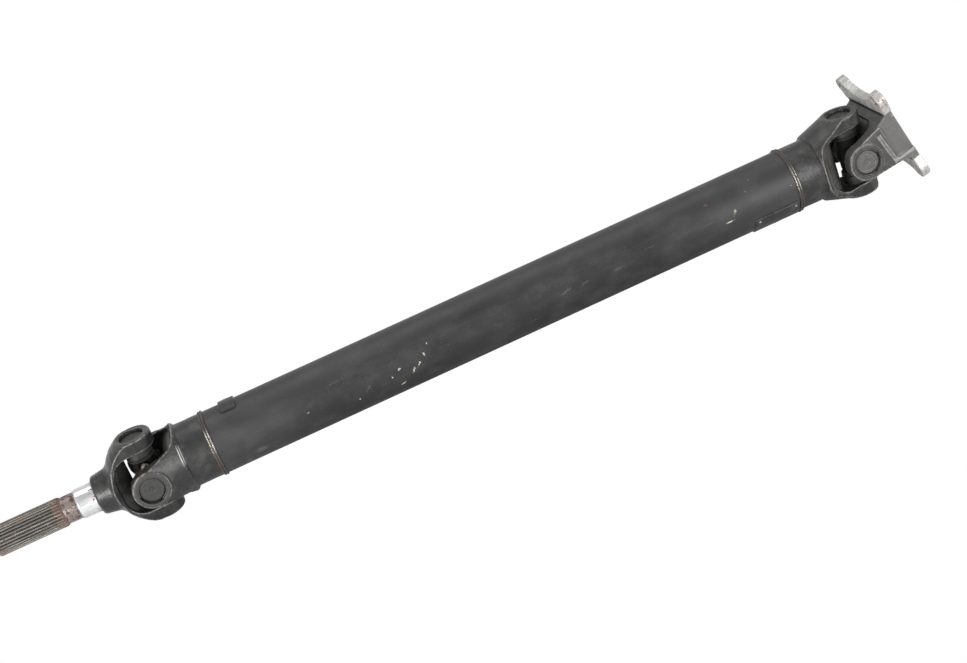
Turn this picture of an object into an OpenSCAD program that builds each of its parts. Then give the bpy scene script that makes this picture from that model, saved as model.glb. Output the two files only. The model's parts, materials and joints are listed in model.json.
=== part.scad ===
// Universal joint shaft: a welded tube between two needle-bearing cross joints,
// a splined stub yoke at the left end and a four-bolt flange yoke at the right end.
// Millimetres. X runs along the shaft towards the flange, Z is up.
// The origin is on the shaft axis, where the seal journal meets the hub of the stub yoke.

/* [Shaft] */
// Distance between the two joint centres
joint_span = 750.8; // [500:0.1:1200]
// Outside diameter of the tube
tube_od = 63.5; // [62.5:0.1:64.5]
// Wall thickness of the tube
tube_wall = 1.65; // [1.4:0.05:2.2]
// Rest angle of the flange yoke, nose up
flange_angle = 15.65; // [0:0.05:17.5]

/* [Fork ears] */
// Joint centre to the machined outer face of an ear
ear_face = 43; // [42.8:0.1:44]
// Joint centre to the inner face of an ear
ear_inner = 29.5; // [29:0.1:30.5]
// Radius of the round boss on each ear
boss_r = 19; // [18:0.1:19.2]

/* [Cross and bearings] */
// Joint centre to the outer face of a bearing cup
cup_face = 40.85; // [40.7:0.05:40.9]
// Outside radius of a bearing cup
cup_r = 13.5; // [13.3:0.05:13.6]
// Length of a bearing cup
cup_len = 20; // [19.5:0.1:20.1]
// Radius of a trunnion
trunnion_r = 8.6; // [8.4:0.05:8.7]
// Needle rollers in each cup
needle_count = 20; // [16:1:20]
// Radius of a needle roller
needle_r = 1.5; // [1.4:0.05:1.5]

/* [Stub] */
// Joint centre to the hub face
hub_face = 53.5; // [52:0.1:56]
// Radius of the seal journal
journal_r = 15; // [14.9:0.05:15.2]
// Length of the seal journal
journal_len = 18.8; // [17:0.1:24]
// Radius of the neck between the journal and the spline
neck_r = 13.4; // [12.8:0.1:13.6]
// Joint centre to the start of the spline
spline_start = 86.5; // [84:0.5:90]
// Joint centre to the free end of the spline
spline_end = 159; // [140:0.5:175]
// Outside radius of the spline teeth
spline_r = 14.7; // [14.6:0.05:14.85]
// Number of spline teeth
spline_teeth = 28; // [24:1:32]

/* [Flange] */
// Joint centre to the flange face
flange_face = 46.6; // [46:0.1:48]
// Thickness of the flange lugs
flange_t = 8.9; // [8:0.1:9.4]
// Bolt hole spacing across the trunnion axis
hole_span_up = 85.1; // [84:0.1:86]
// Bolt hole spacing along the trunnion axis
hole_span_side = 73.4; // [72.5:0.1:74.5]
// Bolt hole radius
hole_r = 5.2; // [4.8:0.05:5.5]
// Outer radius of a lug
lug_r = 10.1; // [9.8:0.1:10.4]

/* [Hidden] */
joint_left = hub_face;
joint_right = hub_face + joint_span;
tube_r = tube_od / 2;
tube_ir = tube_r - tube_wall;
ear_flat = ear_face - 0.8;  // joint centre to the forged side of an ear, inside its machined rim
fit = 0.05;                 // radial gap between pieces that are pressed or welded together
bore_r = cup_r + fit;       // bore through each ear
needle_pitch = trunnion_r + 0.06 + needle_r;
cup_ir = needle_pitch + needle_r + 0.06;
cup_floor = 3.2;            // thickness of a cup's closed end
trunnion_end = cup_face - cup_floor - 0.35;
ring_t = 1.4;               // snap ring thickness
ring_out = 14.6;            // snap ring outer radius, in its groove
ring_in = 11.9;             // snap ring inner radius, over the cup's face
groove_r = ring_out + 0.1;
nipple_stem_r = 3;
nipple_seat = 14.6;         // joint centre to the flat that the nipple's hexagon sits on
seal_in = trunnion_r + fit;
seal_out = 13.2;
seal_len = 2.9;
weld_left = 66.2;           // joint centre to the weld bead, left joint
weld_right = 69.4;          // joint centre to the weld bead, right joint
shoulder_left = 37;         // joint centre to the shoulder behind the ears, left weld yoke
shoulder_right = 40.5;      // the same, right weld yoke
butt_gap = 0.8;             // gap between tube and barrel under the bead
tube_x0 = joint_left + weld_left + butt_gap / 2;
tube_x1 = joint_right - weld_right - butt_gap / 2;
smooth = 64;

paint = [0.23, 0.24, 0.25];
steel = [0.72, 0.73, 0.74];
rubber = [0.08, 0.08, 0.08];
ARMS = ["stub_top", "stub_bottom", "left_near", "left_far", "right_top", "right_bottom",
    "flange_near", "flange_far"];
// Where the snap ring of each ear is open: middle and half of its gap, in degrees
RING_OPEN = [[120, 34], [60, 34], [-118, 52], [90, 34], [100, 34], [80, 34], [-20, 46], [90, 34]];

// ---------------------------------------------------------------- placing

// Roll about the shaft turns a piece built along +Z to its ear:
// 0 is the top ear, 90 the near one (-Y), 180 the bottom one, 270 the far one (+Y).
TOP = 0;
NEAR = 90;
BOTTOM = 180;
FAR = 270;
nipple_left = 45;
nipple_right = 225;

module at_left(roll) translate([joint_left, 0, 0]) rotate([roll, 0, 0]) children();
module at_right(roll) translate([joint_right, 0, 0]) rotate([roll, 0, 0]) children();
// the flange yoke and all that rides with it is tipped nose up
module at_flange(roll)
    translate([joint_right, 0, 0]) rotate([0, -flange_angle, 0]) rotate([roll, 0, 0]) children();

// The eight ears, in the order of the names in ARMS
module at_arm(i) {
    if (i < 4) at_left([TOP, BOTTOM, NEAR, FAR][i]) children();
    else if (i < 6) at_right([TOP, BOTTOM][i - 4]) children();
    else at_flange([NEAR, FAR][i - 6]) children();
}

// A profile of [radius, distance along +X], turned about the X axis
module turned_x(points, facets = smooth)
    rotate([0, 90, 0]) rotate_extrude($fn = facets) polygon(points);

// ---------------------------------------------------------------- forks
// Every fork is built with its joint centre at the origin, its two ears along Z
// and its shaft towards +X.

// Side view of the space between the ears: a slot with a rounded bottom
module throat_2d(depth, corner) {
    translate([-60, -ear_inner]) square([60 + depth - corner, 2 * ear_inner]);
    translate([-60, -ear_inner + corner]) square([60 + depth, 2 * (ear_inner - corner)]);
    for (s = [-1, 1]) translate([depth - corner, s * (ear_inner - corner)]) circle(r = corner, $fn = 48);
}

module throat(depth, corner)
    rotate([90, 0, 0]) linear_extrude(height = 140, center = true) throat_2d(depth, corner);

// The machined rim round an ear bore
module bosses()
    for (turn = [0, 180]) rotate([turn, 0, 0])
        rotate_extrude($fn = smooth)
            polygon([[0, ear_inner], [boss_r, ear_inner], [boss_r, ear_face - 2.4],
                [boss_r - 0.8, ear_face - 0.5], [boss_r - 2.4, ear_face], [0, ear_face]]);

// Bore for the bearing cup and groove for its snap ring, through both ears
module ear_bores()
    for (turn = [0, 180]) rotate([turn, 0, 0]) {
        translate([0, 0, ear_inner - 8]) cylinder(r = bore_r, h = 40, $fn = smooth);
        translate([0, 0, cup_face]) cylinder(r = groove_r, h = ring_t + 0.1, $fn = smooth);
    }

// Common fork: what lies inside both the turned outline and the plan outline,
// with the throat cut out and the ears bored. The web between the ears is crowned:
// round in cross-section, with its crest this far from the joint centre.
module fork(outline, plan, depth, corner, crest, crown_r) {
    difference() {
        union() {
            intersection() {
                turned_x(outline);
                linear_extrude(height = 2 * ear_flat, center = true) {
                    polygon(concat([for (p = plan) p],
                        [for (i = [len(plan) - 1:-1:0]) [plan[i][0], -plan[i][1]]]));
                    circle(r = boss_r, $fn = smooth);
                }
            }
            bosses();
        }
        difference() {
            throat(depth, corner);
            translate([crest + crown_r, 0, 0]) cylinder(r = crown_r, h = 100, center = true, $fn = 90);
        }
        ear_bores();
    }
}

// Fork with a barrel that the tube is welded to
module weld_yoke(shoulder, weld) {
    pilot = weld + 13;       // end of the spigot inside the tube
    difference() {
        fork([[0, -25], [34, -25], [45, -13], [46.9, -2], [46.2, 6], [43.2, 14.4], [38.6, shoulder - 12],
                [35.4, shoulder - 2], [34.6, shoulder], [33.6, shoulder + 0.8], [tube_r, shoulder + 1.6],
                [tube_r, weld - 2], [tube_r - 1.4, weld - butt_gap / 2], [tube_ir - fit, weld - butt_gap / 2],
                [tube_ir - fit, pilot - 1], [tube_ir - fit - 1, pilot], [0, pilot]],
            [[2, boss_r - 0.3], [8, 20.4], [19, 22.8], [shoulder - 9, 24.6], [shoulder - 4, 28.5],
                [shoulder - 1, 34], [shoulder + 1, 40], [pilot + 1, 40]],
            32.3, 17, 18.2, 26.5);
        // the barrel is hollow from the tube side
        turned_x([[0, shoulder + 9], [20, shoulder + 9], [24.5, shoulder + 13], [24.5, pilot + 1],
            [0, pilot + 1]]);
    }
}

module stub_yoke_body() {
    tooth = 360 / spline_teeth;
    root_r = spline_r - 1.3;
    fork([[0, -25], [34, -25], [45, -13], [46.9, -2], [46.6, 6], [44.6, 13], [41.4, 18.5], [36.6, 25],
            [30.4, 30.5], [25, 34], [22, 37.5], [21.3, 41], [19.6, hub_face - 2.4], [18.4, hub_face - 0.6],
            [17.2, hub_face], [0, hub_face]],
        [[2, boss_r - 0.3], [20, 19.8], [30, 20.6], [36, 24], [hub_face + 1, 24]],
        30, 18, 16.3, 20.5);
    turned_x([[0, hub_face - 3], [journal_r, hub_face - 3], [journal_r, hub_face + journal_len - 0.8],
        [journal_r - 0.8, hub_face + journal_len], [neck_r, hub_face + journal_len],
        [neck_r, spline_start], [root_r - 0.6, spline_start + 2], [0, spline_start + 2]]);
    // spline: straight teeth with a bevelled free end
    intersection() {
        translate([spline_start, 0, 0]) rotate([0, 90, 0]) linear_extrude(height = spline_end - spline_start)
            polygon([for (i = [0:spline_teeth - 1]) for (k = [[0.06, root_r], [0.30, spline_r],
                [0.62, spline_r], [0.86, root_r]])
                k[1] * [cos((i + k[0]) * tooth), sin((i + k[0]) * tooth)]]);
        turned_x([[0, spline_start - 1], [root_r - 0.4, spline_start - 1], [spline_r + 1, spline_start + 2.2],
            [spline_r + 1, spline_end - 2.6], [root_r - 1, spline_end], [0, spline_end]], 48);
    }
}

// Outline of the flange: a disc and a crossbar with four rounded lugs, and a shallow
// round valley between the lugs of each pair. x is along the trunnions, y across them.
module flange_plate_2d() {
    side = hole_span_side / 2;
    up = hole_span_up / 2;
    valley = 39.6;           // flange axis to the bottom of a valley
    valley_r = 60.2;
    circle(r = 38, $fn = smooth);
    square([2 * ear_flat, 56], center = true);
    for (turn = [0, 180]) rotate(turn) {
        for (s = [-1, 1]) {
            translate([s * side, up]) circle(r = lug_r, $fn = 48);
            polygon([[s * (side + lug_r), up], [s * (ear_flat + 0.6), 28], [s * ear_flat, 22], [s * 16, 22],
                [s * 20, 30], [s * (side - lug_r), up]]);
        }
        difference() {
            translate([-side, 22]) square([2 * side, up + lug_r - 22.2]);
            translate([0, valley + valley_r]) circle(r = valley_r, $fn = 120);
        }
    }
}

module flange_yoke_body() {
    pocket_x = 27.8;         // the relief beside the flange starts here
    pocket_depth = 2.6;
    difference() {
        union() {
            fork([[0, -25], [34, -25], [45, -13], [46.9, -2], [47.6, 8], [52, 24], [52, flange_face - 2],
                    [0, flange_face - 2]],
                [[2, boss_r - 0.3], [14, 20.6], [30, 22.7], [36, 25], [flange_face - 2, 28]],
                29.6, 16, 18.5, 24);
            translate([flange_face - flange_t, 0, 0]) rotate([90, 0, 90])
                linear_extrude(height = flange_t) rotate(90) flange_plate_2d();
        }
        // relief on the outside of each ear, beside the flange
        for (side = [-1, 1])
            translate([pocket_x, -17, side * (ear_flat - pocket_depth + 10) - 10]) cube([30, 45, 20]);
        // bolt holes
        for (a = [-1, 1]) for (b = [-1, 1])
            translate([flange_face - flange_t - 1, b * hole_span_up / 2, a * hole_span_side / 2])
                rotate([0, 90, 0]) cylinder(r = hole_r, h = flange_t + 2, $fn = 40);
    }
}

// ---------------------------------------------------------------- cross and bearings

// nipple_roll is the direction of the grease nipple, between two trunnions
module cross_body(nipple_roll) {
    difference() {
        union() {
            for (roll = [0, 90, 180, 270]) rotate([roll, 0, 0])
                rotate_extrude($fn = 48) polygon([[0, 0], [11.6, 0], [11.6, 13.5], [10.2, 17.5],
                    [trunnion_r, 17.5], [trunnion_r, trunnion_end - 1], [trunnion_r - 1, trunnion_end],
                    [0, trunnion_end]]);
            sphere(r = 13.4, $fn = 40);
        }
        // grease drillings along both trunnion axes
        for (roll = [0, 90]) rotate([roll, 0, 0])
            cylinder(r = 1.6, h = 2 * trunnion_end + 2, center = true, $fn = 16);
        // tapped hole for the grease nipple, between two trunnions
        rotate([nipple_roll, 0, 0]) {
            translate([0, 0, 1]) cylinder(r = nipple_stem_r + fit, h = 20, $fn = 24);
            translate([0, 0, nipple_seat]) cylinder(r = 6, h = 10, $fn = 24);
        }
    }
}

// Screwed stem, hexagon and ball-shaped tip
module grease_nipple(nipple_roll)
    rotate([nipple_roll, 0, 0]) translate([0, 0, nipple_seat + fit]) difference() {
        union() {
            translate([0, 0, -5.6]) cylinder(r = nipple_stem_r, h = 5.7, $fn = 24);
            cylinder(r = 4, h = 2.9, $fn = 6);
            rotate_extrude($fn = 24)
                polygon([[0, 2.8], [2.4, 2.8], [1.9, 4.4], [2.8, 5.4], [2.8, 6.4], [1.5, 7.8], [0, 7.8]]);
        }
        translate([0, 0, -6]) cylinder(r = 0.8, h = 20, $fn = 13);
    }

module bearing_cup()
    rotate_extrude($fn = smooth)
        polygon([[0, cup_face - cup_floor], [cup_ir, cup_face - cup_floor], [cup_ir, cup_face - cup_len],
            [cup_r - 0.5, cup_face - cup_len], [cup_r, cup_face - cup_len + 0.5], [cup_r, cup_face - 0.6],
            [cup_r - 0.6, cup_face], [3.4, cup_face], [2.8, cup_face - 0.7], [1.5, cup_face - 0.7],
            [1.1, cup_face - 0.2], [0, cup_face - 0.2]]);

// Open ring in the ear's groove, over the rim of the cup
// open_at is the middle of the ring's gap, open_half is half the gap, in degrees
module snap_ring(open_at, open_half)
    rotate([0, 0, open_at + open_half]) rotate_extrude(angle = 360 - 2 * open_half, $fn = 64)
        translate([ring_in, cup_face + fit]) square([ring_out - ring_in, ring_t - fit]);

module needle_set()
    for (i = [0:needle_count - 1]) rotate([0, 0, (i + 0.5) * 360 / needle_count])
        translate([needle_pitch, 0, cup_face - cup_len + 1.6])
            cylinder(r = needle_r, h = 14.4, $fn = 13);

// Lipped rubber seal, pressed on the foot of a trunnion
module trunnion_seal()
    rotate_extrude($fn = 40)
        polygon([[seal_in, 17.55], [12.4, 17.55], [seal_out, 18.4], [seal_out, 17.55 + seal_len],
            [12.5, 17.55 + seal_len], [11.9, 19.6], [10.2, 19.6], [seal_in + 0.6, 17.55 + seal_len],
            [seal_in, 17.55 + seal_len]]);

// ---------------------------------------------------------------- tube

module shaft_tube() color(paint) {
    chamfer = 1.3;
    turned_x([[tube_ir, tube_x0], [tube_r - chamfer, tube_x0], [tube_r, tube_x0 + 1.6],
        [tube_r, tube_x1 - 1.6], [tube_r - chamfer, tube_x1], [tube_ir, tube_x1]], 96);
}

// Bead in the vee between the tube and a yoke's barrel, with a double crest.
// The barrel is on the -X side of it.
module weld_bead()
    turned_x([[tube_ir + 0.1, -0.3], [tube_r - 1.3, -0.3], [tube_r + fit, -1.9],
        [tube_r + 0.9, -2.4], [tube_r + 1.8, -1.4], [tube_r + 1.1, -0.3],
        [tube_r + 2.1, 0.9], [tube_r + 1.0, 2.3], [tube_r + fit, 1.9],
        [tube_r - 1.3, 0.3], [tube_ir + 0.1, 0.3]], 72);

// Curved strip spot-welded to the tube, over 2 * half degrees about this roll
module balance_strip(roll, half, length, thick)
    rotate([roll, 0, 0]) rotate([0, 90, 0]) rotate([0, 0, 180 - half])
        rotate_extrude(angle = 2 * half, $fn = 96)
            translate([tube_r + fit, 0]) square([thick, length]);

// ---------------------------------------------------------------- sub-parts

module weld_yoke_left() color(paint) at_left(NEAR) weld_yoke(shoulder_left, weld_left);
module weld_yoke_right() color(paint) at_right(TOP) rotate(180) weld_yoke(shoulder_right, weld_right);
module weld_bead_left() color(paint) translate([joint_left + weld_left, 0, 0]) weld_bead();
module weld_bead_right() color(paint) translate([joint_right - weld_right, 0, 0]) rotate(180) weld_bead();
module balance_weight_left() color(paint)
    translate([joint_left + 85.3, 0, 0]) balance_strip(-4, 27, 16.3, 2.2);
module balance_weight_right() color(paint)
    translate([joint_right - 121, 0, 0]) balance_strip(139, 27, 49, 1.4);
module stub_yoke() color(paint) at_left(TOP) rotate(180) stub_yoke_body();
module flange_yoke() color(paint) at_flange(NEAR) flange_yoke_body();
module cross_left() color(steel) at_left(TOP) cross_body(nipple_left);
module cross_right() color(steel) at_right(TOP) cross_body(nipple_right);
module grease_nipple_left() color(steel) at_left(TOP) grease_nipple(nipple_left);
module grease_nipple_right() color(steel) at_right(TOP) grease_nipple(nipple_right);
module cup(i) color(steel) at_arm(i) bearing_cup();
module ring(i) color(paint) at_arm(i) snap_ring(RING_OPEN[i][0], RING_OPEN[i][1]);
module needles(i) color(steel) at_arm(i) needle_set();
module seal(i) color(rubber) at_arm(i) trunnion_seal();

shaft_tube();
weld_yoke_left();
weld_yoke_right();
weld_bead_left();
weld_bead_right();
balance_weight_left();
balance_weight_right();
stub_yoke();
flange_yoke();
cross_left();
cross_right();
grease_nipple_left();
grease_nipple_right();
for (i = [0:len(ARMS) - 1]) {
    cup(i);
    ring(i);
    needles(i);
    seal(i);
}
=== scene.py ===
"""Universal joint shaft: the looks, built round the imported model.

The tube, weld beads, bearings, stub and balance weights are new surfaces worked out on
grids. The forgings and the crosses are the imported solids, softened and given a forged
skin. Lengths are in millimetres, and are turned into metres where a mesh is filled.
"""
import json
from math import cos, pi, radians, sin

import bpy
import bmesh
import numpy as np
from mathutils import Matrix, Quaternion, Vector


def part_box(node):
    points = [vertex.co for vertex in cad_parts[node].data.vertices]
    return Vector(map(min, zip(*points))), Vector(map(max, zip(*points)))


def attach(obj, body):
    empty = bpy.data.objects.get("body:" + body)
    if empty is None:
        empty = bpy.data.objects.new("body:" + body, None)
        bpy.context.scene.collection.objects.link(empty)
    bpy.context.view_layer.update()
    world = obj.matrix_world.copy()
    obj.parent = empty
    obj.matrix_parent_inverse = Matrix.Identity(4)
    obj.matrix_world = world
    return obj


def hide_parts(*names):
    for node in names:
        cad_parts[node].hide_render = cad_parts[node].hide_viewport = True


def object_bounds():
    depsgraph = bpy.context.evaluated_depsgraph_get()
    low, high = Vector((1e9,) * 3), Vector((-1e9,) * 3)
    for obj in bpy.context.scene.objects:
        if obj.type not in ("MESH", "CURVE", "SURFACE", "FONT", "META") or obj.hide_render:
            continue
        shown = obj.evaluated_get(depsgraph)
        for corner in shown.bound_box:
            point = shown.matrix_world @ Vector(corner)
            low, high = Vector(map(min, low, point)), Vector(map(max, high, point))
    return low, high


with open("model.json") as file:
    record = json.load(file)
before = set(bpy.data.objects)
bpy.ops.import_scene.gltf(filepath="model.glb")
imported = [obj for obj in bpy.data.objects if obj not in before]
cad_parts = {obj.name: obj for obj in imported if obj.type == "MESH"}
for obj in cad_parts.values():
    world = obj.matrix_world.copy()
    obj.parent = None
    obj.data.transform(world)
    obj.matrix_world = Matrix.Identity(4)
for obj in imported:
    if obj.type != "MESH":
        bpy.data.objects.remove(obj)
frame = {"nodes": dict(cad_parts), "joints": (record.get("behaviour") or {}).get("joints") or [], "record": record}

CAD_BOX = [list(corner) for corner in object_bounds()]
MM = 0.001
TURN = 2 * pi
X_AXIS = np.array([1.0, 0, 0])
Z_AXIS = np.array([0, 0, 1.0])
TUBE_FACETS, TUBE_RINGS, BORE_RINGS = 176, 372, 12
RIPPLES = 132           # round one weld bead
BEAD_FACETS = 900       # enough for each ripple
FACE_LIMIT = 190000     # most triangles in one softened forging
RELAX, UNRELAX = 0.62, -0.45    # share of the way to the neighbours' mean, there and back


# ---------------------------------------------------------------- sizes from the frame
def span(node):
    """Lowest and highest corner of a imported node, in millimetres."""
    low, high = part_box(node)
    return np.array(low) / MM, np.array(high) / MM


JOINTS = {j["name"]: np.array(j["pos_m"]) / MM for j in frame["joints"]}
MOUNTS = {m["name"]: m for m in frame["record"]["mounts"]}
LEFT = JOINTS["left_joint_pitch"]
RIGHT = JOINTS["right_joint_pitch"]
TUBE_START, TUBE_END = span("shaft_tube")[0][0], span("shaft_tube")[1][0]
TUBE_R = span("shaft_tube")[1][2]
TUBE_WALL = 1.65
EAR_FACE = span("stub_yoke")[1][2]
EAR_INNER = 29.5
CUP_FACE = span("cup_stub_top")[1][2]
CUP_BACK = span("cup_stub_top")[0][2]
CUP_R = span("cup_stub_top")[1][0] - LEFT[0]
CUP_BORE = 11.72
CUP_FLOOR = 3.2
RING_LOW, RING_TOP = span("snap_ring_stub_top")[0][2], span("snap_ring_stub_top")[1][2]
RING_R = LEFT[0] - span("snap_ring_stub_top")[0][0]
RING_BORE = 11.9
RIM_OUT = 16.9
SEAL_LOW, SEAL_TOP = span("seal_stub_top")[0][2], span("seal_stub_top")[1][2]
SEAL_R = span("seal_stub_top")[1][0] - LEFT[0]
TRUNNION_R = 8.6
JOURNAL_R = MOUNTS["seal_journal"]["dims"]["r_mm"]
JOURNAL_END = -MOUNTS["seal_journal"]["dims"]["length_mm"] - 0.8
NECK_R = 13.4
SPLINE_R = MOUNTS["spline"]["dims"]["r_mm"]
SPLINE_END = span("stub_yoke")[0][0]
SPLINE_START = SPLINE_END + MOUNTS["spline"]["dims"]["length_mm"]
SPLINE_TEETH = 28
FLANGE_AXIS = np.array(MOUNTS["flange_face"]["axis"])
FLANGE_FACE = float((np.array(MOUNTS["flange_face"]["pos_m"]) / MM - RIGHT) @ FLANGE_AXIS)
FLANGE_UP = np.array([-FLANGE_AXIS[2], 0, FLANGE_AXIS[0]])
FLANGE_T = MOUNTS["bolt_hole_top_near"]["dims"]["length_mm"]
WELD_LEFT = (span("weld_bead_left")[0][0] + span("weld_bead_left")[1][0]) / 2
WELD_RIGHT = (span("weld_bead_right")[0][0] + span("weld_bead_right")[1][0]) / 2

# every ear: its name, joint centre, roll about the shaft (0 top, 90 near, 180 bottom, 270 far),
# the body that carries it, the body of its cross, and the middle and half of the gap in its
# snap ring, in degrees
EARS = [
    ("stub_top", LEFT, 0, "stub", "cross_left", 120, 34),
    ("stub_bottom", LEFT, 180, "stub", "cross_left", 60, 34),
    ("left_near", LEFT, 90, "tube", "cross_left", -118, 52),
    ("left_far", LEFT, 270, "tube", "cross_left", 90, 34),
    ("right_top", RIGHT, 0, "tube", "cross_right", 100, 34),
    ("right_bottom", RIGHT, 180, "tube", "cross_right", 80, 34),
    ("flange_near", RIGHT, 90, "flange", "cross_right", -20, 46),
    ("flange_far", RIGHT, 270, "flange", "cross_right", 90, 34),
]
EAR_PLACE = {ear: (centre, roll) for ear, centre, roll, *_ in EARS}


# ---------------------------------------------------------------- meshes
def ear_axis(roll):
    """The direction from the joint's centre to an ear at this roll about the shaft."""
    return np.array([0, -sin(radians(roll)), cos(radians(roll))])


def curvature(points, edges, normals, passes=2):
    """How far each corner stands out of its neighbours: the mean, over a corner's edges, of the
    normal's dot product with the edge's direction, evened out by averaging along the edges."""
    a, b = edges[:, 0], edges[:, 1]
    way = points[a] - points[b]
    way /= np.linalg.norm(way, axis=1)[:, None] + 1e-9
    count = np.bincount(np.r_[a, b], minlength=len(points)) + 1e-9
    lift = np.r_[(normals[a] * way).sum(1), -(normals[b] * way).sum(1)]
    bend = np.bincount(np.r_[a, b], weights=lift, minlength=len(points)) / count
    for _ in range(passes):
        near = np.bincount(np.r_[a, b], weights=bend[np.r_[b, a]], minlength=len(points)) / count
        bend = 0.5 * bend + 0.5 * near
    return bend


def attribute(mesh, name, values):
    """Writes one number per corner into the mesh, for a material to read."""
    made = mesh.attributes.new(name, "FLOAT", "POINT")
    made.data.foreach_set("value", np.asarray(values, np.float32))


def mesh_arrays(mesh):
    """Corner positions, edges and normals of a mesh, as arrays."""
    points = np.empty(len(mesh.vertices) * 3)
    mesh.vertices.foreach_get("co", points)
    edges = np.empty(len(mesh.edges) * 2, np.int64)
    mesh.edges.foreach_get("vertices", edges)
    normals = np.empty(len(mesh.vertices) * 3)
    mesh.vertex_normals.foreach_get("vector", normals)
    return points.reshape(-1, 3), edges.reshape(-1, 2), normals.reshape(-1, 3)


def finish_piece(mesh, name, body, material, stands_for=(), sharp=40, passes=2):
    """Shades a mesh, works out its edge attribute, and puts it on its body."""
    mesh.polygons.foreach_set("use_smooth", np.ones(len(mesh.polygons), bool))
    if sharp:
        mesh.set_sharp_from_angle(angle=radians(sharp))
    points, edges, normals = mesh_arrays(mesh)
    attribute(mesh, "edge", curvature(points, edges, normals, passes))
    mesh.materials.clear()
    mesh.materials.append(material)
    piece = bpy.data.objects.new(name, mesh)
    bpy.context.scene.collection.objects.link(piece)
    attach(piece, body)
    if stands_for:
        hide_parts(*stands_for)
    return piece


def grid_mesh(name, grid, close_rows=False, poles=False):
    """Mesh of a grid of points. Columns run round and close on themselves, rows run along and
    may close too, and with poles the first and last rows shrink to one corner each."""
    rows, columns = grid.shape[:2]
    points = grid.reshape(-1, 3) * MM
    index = np.arange(rows * columns).reshape(rows, columns)
    along = np.roll(index, -1, 0) if close_rows else index[1:]
    here = index if close_rows else index[:-1]
    quads = np.stack([here, np.roll(here, -1, 1), np.roll(along, -1, 1), along], -1).reshape(-1, 4)
    mesh = bpy.data.meshes.new(name)
    if not poles:
        mesh.from_pydata(points, [], quads.tolist())
    else:
        ends = np.array([grid[0].mean(0), grid[-1].mean(0)]) * MM
        first, last = rows * columns, rows * columns + 1
        start = [[first, b, a] for a, b in zip(index[0], np.roll(index[0], -1))]
        close = [[last, a, b] for a, b in zip(index[-1], np.roll(index[-1], -1))]
        mesh.from_pydata(np.vstack([points, ends]), [], quads.tolist() + start + close)
    mesh.validate()
    point_outwards(mesh)
    return mesh


def point_outwards(mesh):
    """Turns the faces of a closed mesh outwards."""
    shape = bmesh.new()
    shape.from_mesh(mesh)
    bmesh.ops.recalc_face_normals(shape, faces=shape.faces)
    shape.to_mesh(mesh)
    shape.free()


def rounded(corners, radius=0.3, steps=3, closed=False):
    """Outline with each corner replaced by a parabola that touches both sides, and a guard point
    on each side of it, so that the flat stretches stay flat when the piece is shaded."""
    p = np.array(corners, float)
    t = np.linspace(0, 1, steps + 1)[:, None]
    out = [] if closed else [p[:1]]
    order = range(len(p)) if closed else range(1, len(p) - 1)
    for i in order:
        before, here, after = p[i - 1], p[i], p[(i + 1) % len(p)]
        back, on = before - here, after - here
        back_len, on_len = np.linalg.norm(back), np.linalg.norm(on)
        back, on = back / back_len, on / on_len
        r = min(radius, 0.36 * back_len, 0.36 * on_len)
        arc = here + (1 - t) ** 2 * back * r + t ** 2 * on * r
        out += [(here + back * r * 1.3)[None], arc, (here + on * r * 1.3)[None]]
    if not closed:
        out.append(p[-1:])
    return np.vstack(out)


def turned(name, outline, centre, across, along, facets=96, closed=False, wave=None):
    """Surface of revolution: each point of an outline of [radius, height] is carried round the
    line through centre along `along`. An open outline starts and ends on that line, at a pole;
    a closed one makes a ring. wave(angle, radius, height) may add to the radius. Attribute
    off_axis is the distance from the line, for lathe marks."""
    radius, height = np.asarray(outline).T
    angle = np.arange(facets) * TURN / facets
    side = np.cross(along, across)
    if not closed:
        radius, height = radius[1:-1], height[1:-1]
    r = np.repeat(radius[:, None], facets, 1)
    if wave is not None:
        r = r + wave(angle[None, :], radius[:, None], height[:, None])
    grid = (centre + r[..., None] * (np.cos(angle)[:, None] * across + np.sin(angle)[:, None] * side)
            + height[:, None, None] * along)
    mesh = grid_mesh(name, grid, close_rows=closed)
    if not closed:
        cap_ends(mesh, len(radius), facets, centre, along, outline)
    points = mesh_arrays(mesh)[0] / MM - centre
    attribute(mesh, "off_axis", np.hypot(points @ across, points @ side))
    return mesh


def cap_ends(mesh, rows, facets, centre, along, outline):
    """Closes the two ends of a turned surface with a pole on its axis."""
    shape = bmesh.new()
    shape.from_mesh(mesh)
    shape.verts.ensure_lookup_table()
    for first, height in ((0, outline[0][1]), ((rows - 1) * facets, outline[-1][1])):
        pole = shape.verts.new((centre + height * along) * MM)
        shape.verts.ensure_lookup_table()
        for k in range(facets):
            shape.faces.new((shape.verts[first + k], shape.verts[first + (k + 1) % facets], pole))
    bmesh.ops.recalc_face_normals(shape, faces=shape.faces)
    shape.to_mesh(mesh)
    shape.free()


# ---------------------------------------------------------------- waves
def waves(points, length, seed, count=7):
    """Smooth unevenness from -1 to 1: a sum of sine waves of about this length, whose directions
    and phases come from a seeded generator."""
    draw = np.random.default_rng(seed)
    total = np.zeros(len(points))
    for _ in range(count):
        way = draw.normal(size=3)
        way *= TURN / (length * draw.uniform(0.7, 1.5) * np.linalg.norm(way))
        total += np.sin(points @ way + draw.uniform(0, TURN))
    return total / count ** 0.5 / 1.6


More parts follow.
